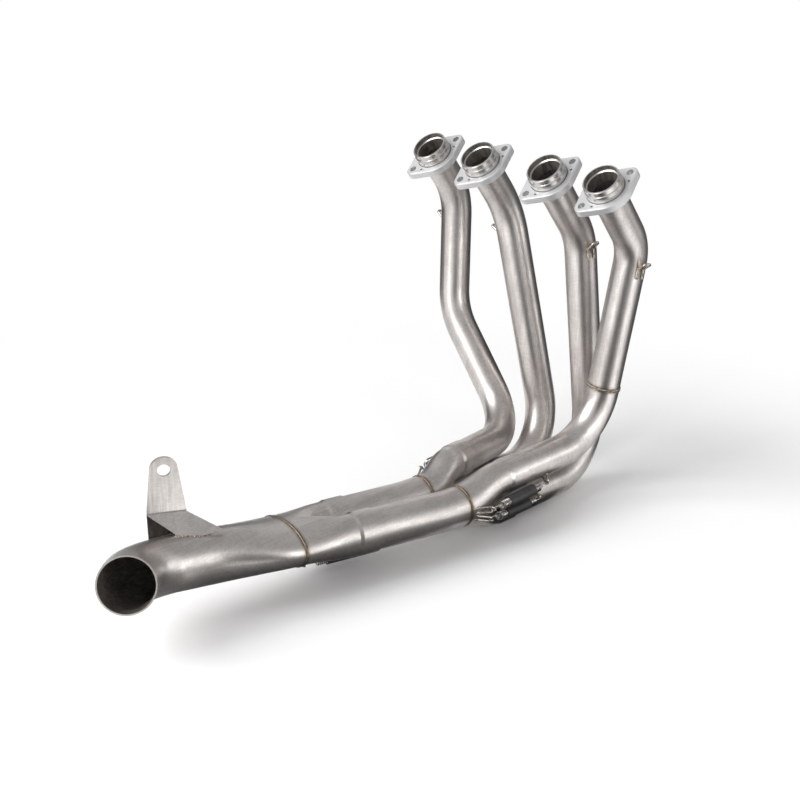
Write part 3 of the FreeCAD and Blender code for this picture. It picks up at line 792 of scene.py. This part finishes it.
floorSpec = {"width": 80.0, "colour": (1.0, 1.0, 1.0, 1.0), "bounce": 0.62, "fadeFrom": 0.5, "fadeTo": 0.9}
skyStops = [
    (0.0, (0.75, 0.75, 0.75)),
    (0.5, (0.95, 0.95, 0.95)),
    (0.56, (0.80, 0.80, 0.80)),
    (0.70, (0.62, 0.62, 0.625)),
    (1.0, (0.42, 0.42, 0.425)),
]
panelStops = [
    (0.0, (0.75, 0.75, 0.75)),
    (0.5, (0.70, 0.70, 0.70)),
    (0.76, (1.0, 1.0, 1.0)),
    (0.81, (0.42, 0.42, 0.425)),
    (1.0, (0.34, 0.34, 0.345)),
]
panelSide = (0.72, 0.69, 0.0)
skyLevel = 0.56
lamps = {
    "softBox": {"at": (-1.6, -3.1, 2.9), "aim": (0.0, -0.05, 0.1), "size": (3.0, 3.0), "power": 158.0},
    "leftStrip": {"at": (-0.1, -1.7, 0.55), "aim": (0.0, 0.0, 0.25), "size": (0.3, 1.0), "power": 4.0},
    "rightStrip": {"at": (1.9, 0.25, 0.5), "aim": (0.0, 0.0, 0.25), "size": (0.35, 1.0), "power": 5.5},
    "backPanel": {"at": (1.7, 1.75, 0.5), "aim": (0.0, 0.0, 0.1), "size": (1.5, 0.6), "power": 5.0},
}
flags = {
    "frontFlag": {"at": (0.0, 0.3, 0.002), "near": 0.12, "far": 1.5, "turns": (-57.0, -13.0), "tone": 0.02},
    "rightFlag": {"at": (0.0, 0.3, 0.003), "near": 0.14, "far": 1.2, "turns": (30.0, 88.0), "tone": 0.02},
    # A dark sheet under the pipes, seen only in the metal, as painted shade: it stands for the shadowed
    # floor that the pipe undersides reflect.
    "pipeFlag": {"at": (-0.06, -0.3, 0.007), "near": 0.06, "far": 0.5, "turns": (14.0, 62.0), "tone": 0.12},
    "stripeCard": {"at": (0.0, 0.3, 0.005), "near": 0.52, "far": 1.5, "turns": (-99.0, -68.0), "glow": 1.5},
    "edgeCard": {"at": (0.0, 0.3, 0.006), "near": 0.3, "far": 1.5, "turns": (-8.0, 14.0), "glow": 1.2},
}
cards = {
    "cameraCard": {"at": (0.62, -0.42, 0.0), "facing": -35.0, "width": 0.55, "height": 0.42},
    "rightCard": {"at": (0.05, 0.80, 0.0), "facing": 92.0, "width": 0.9, "height": 0.5},
    "leftCard": {"at": (-0.75, 0.1, 0.0), "facing": 178.0, "width": 0.9, "height": 0.4},
}


def flatPiece(name, width, height, matrix):
    bm = bmesh.new()
    bmesh.ops.create_grid(bm, x_segments=1, y_segments=1, size=0.5)
    bmesh.ops.scale(bm, verts=bm.verts, vec=(width, height, 1))
    bmesh.ops.transform(bm, matrix=matrix, verts=bm.verts)
    return stagePiece(bm, name)


def stagePiece(bm, name):
    mesh = bpy.data.meshes.new(name)
    bm.to_mesh(mesh)
    bm.free()
    piece = bpy.data.objects.new(name, mesh)
    bpy.context.scene.collection.objects.link(piece)
    return piece


def makeFloor(lowest):
    floor = flatPiece("floor", floorSpec["width"], floorSpec["width"], Matrix.Translation((0, 0, lowest)))
    finish = Finish("floorPaint")
    far = finish.ramp(finish.reach(finish.objectPoint()), floorSpec["fadeFrom"], floorSpec["fadeTo"])
    rays = finish.add("ShaderNodeLightPath", {}, [], "Is Camera Ray")
    seen = rays.most(finish.add("ShaderNodeLightPath", {}, [], "Is Glossy Ray"))
    seen = seen.most(finish.add("ShaderNodeLightPath", {}, [], "Is Transmission Ray"))
    dim = tuple(c * floorSpec["bounce"] for c in floorSpec["colour"][:3]) + (1.0,)
    paint = finish.add("ShaderNodeBsdfDiffuse", {}, {"Color": finish.blend(seen, dim, floorSpec["colour"])})
    glow = finish.add("ShaderNodeEmission", {}, {"Color": floorSpec["colour"], "Strength": 1.0})
    mixed = finish.add("ShaderNodeMixShader", {}, [seen * far, paint, glow])
    finish.add("ShaderNodeOutputMaterial", {}, {"Surface": mixed})
    floor.data.materials.append(finish.material)
    return floor


def makeCard(name, spec):  # black card beside the set, seen only in the metal
    turn = math.radians(spec["facing"])
    inward = Vector((-math.cos(turn), -math.sin(turn), 0))
    centre = Vector(spec["at"]) + Vector((0, 0, spec["height"] / 2 + 0.002))
    where = frameMatrix(centre, inward, inward.cross((0, 0, -1)))
    return asCard(flatPiece(name, spec["width"], spec["height"], where), 0.02)


def makeFlag(name, spec):  # slice of a ring on the floor, dark or glowing for a bright stripe
    bm = bmesh.new()
    bmesh.ops.create_grid(bm, x_segments=8, y_segments=1, size=0.5)
    first, last = spec["turns"]
    for vert in bm.verts:
        turn = math.radians(first + (last - first) * (vert.co.x + 0.5))
        reach = spec["near"] + (spec["far"] - spec["near"]) * (vert.co.y + 0.5)
        vert.co = Vector(spec["at"]) + Vector((math.cos(turn), math.sin(turn), 0)) * reach
    return asCard(stagePiece(bm, name), spec.get("tone", 0.5), spec.get("glow", 0.0))


def asCard(card, tone, glow=0.0):  # paper, hidden from all but the mirror rays
    finish = Finish(card.name + "Paper")
    nap = finish.grain(finish.objectPoint(), 30.0)
    paper = finish.blend(nap, tint([tone * 0.8] * 3), tint([tone * 1.3] * 3))
    shine = {"Emission Color": tint([1.0] * 3), "Emission Strength": glow}
    card.data.materials.append(finish.surface({"Base Color": paper, "Roughness": 0.95, **shine}))
    card.visible_camera = False
    card.visible_diffuse = False
    card.visible_shadow = False
    card.visible_transmission = False
    return card


def makeLamp(name, spec):
    light = bpy.data.lights.new(name, "AREA")
    light.energy = spec["power"]
    light.shape = "RECTANGLE"
    light.size, light.size_y = spec["size"]
    lamp = bpy.data.objects.new(name, light)
    bpy.context.scene.collection.objects.link(lamp)
    lamp.location = spec["at"]
    lamp.rotation_euler = (Vector(spec["aim"]) - Vector(spec["at"])).to_track_quat("-Z", "Y").to_euler()


cameraSpec = {
    "fromPorts": (1.0044, -1.1097, 0.3088),
    "forward": (-0.682, 0.631, -0.370),
    "lens": 58.5,
}


def makeCamera():
    data = bpy.data.cameras.new("photoCamera")
    data.lens = cameraSpec["lens"]
    data.sensor_width = 36.0
    camera = bpy.data.objects.new("photoCamera", data)
    bpy.context.scene.collection.objects.link(camera)
    camera.location = portRow + Vector(cameraSpec["fromPorts"])
    camera.rotation_euler = Vector(cameraSpec["forward"]).to_track_quat("-Z", "Y").to_euler()
    bpy.context.scene.camera = camera


def makeWorld():
    world = bpy.data.worlds.new("studio")
    bpy.context.scene.world = world
    world.use_nodes = True
    finish = Finish("studio", world.node_tree)
    direction = finish.add("ShaderNodeTexCoord", {}, [], "Generated")
    up = finish.add("ShaderNodeSeparateXYZ", {}, [direction], "Z")
    sky = finish.add("ShaderNodeValToRGB", {"stops": skyStops}, [up * 0.5 + 0.5], "Color")
    panel = finish.add("ShaderNodeValToRGB", {"stops": panelStops}, [up * 0.5 + 0.5], "Color")
    sky = finish.blend(finish.ramp(finish.along(direction, panelSide), 0.3, 0.6), sky, panel)
    seen = finish.add("ShaderNodeLightPath", {}, [], "Is Glossy Ray")
    camera = finish.add("ShaderNodeLightPath", {}, [], "Is Camera Ray")
    plain = (skyLevel, skyLevel, skyLevel, 1.0)
    colour = finish.blend(camera, finish.blend(seen, plain, sky), (1.0, 1.0, 1.0, 1.0))
    light = finish.add("ShaderNodeBackground", {}, {"Color": colour, "Strength": 1.0})
    finish.add("ShaderNodeOutputWorld", {}, {"Surface": light})


floorLevel = min(vertexArray(node)[:, 2].min() for node in nodes)
makeFloor(floorLevel)
for cardName, cardSpec in cards.items():
    makeCard(cardName, cardSpec)
for flagName, flagSpec in flags.items():
    makeFlag(flagName, flagSpec)
for lampName, lampSpec in lamps.items():
    makeLamp(lampName, lampSpec)
makeWorld()
makeCamera()
bpy.context.scene.view_settings.view_transform = "Standard"
print("stage done")
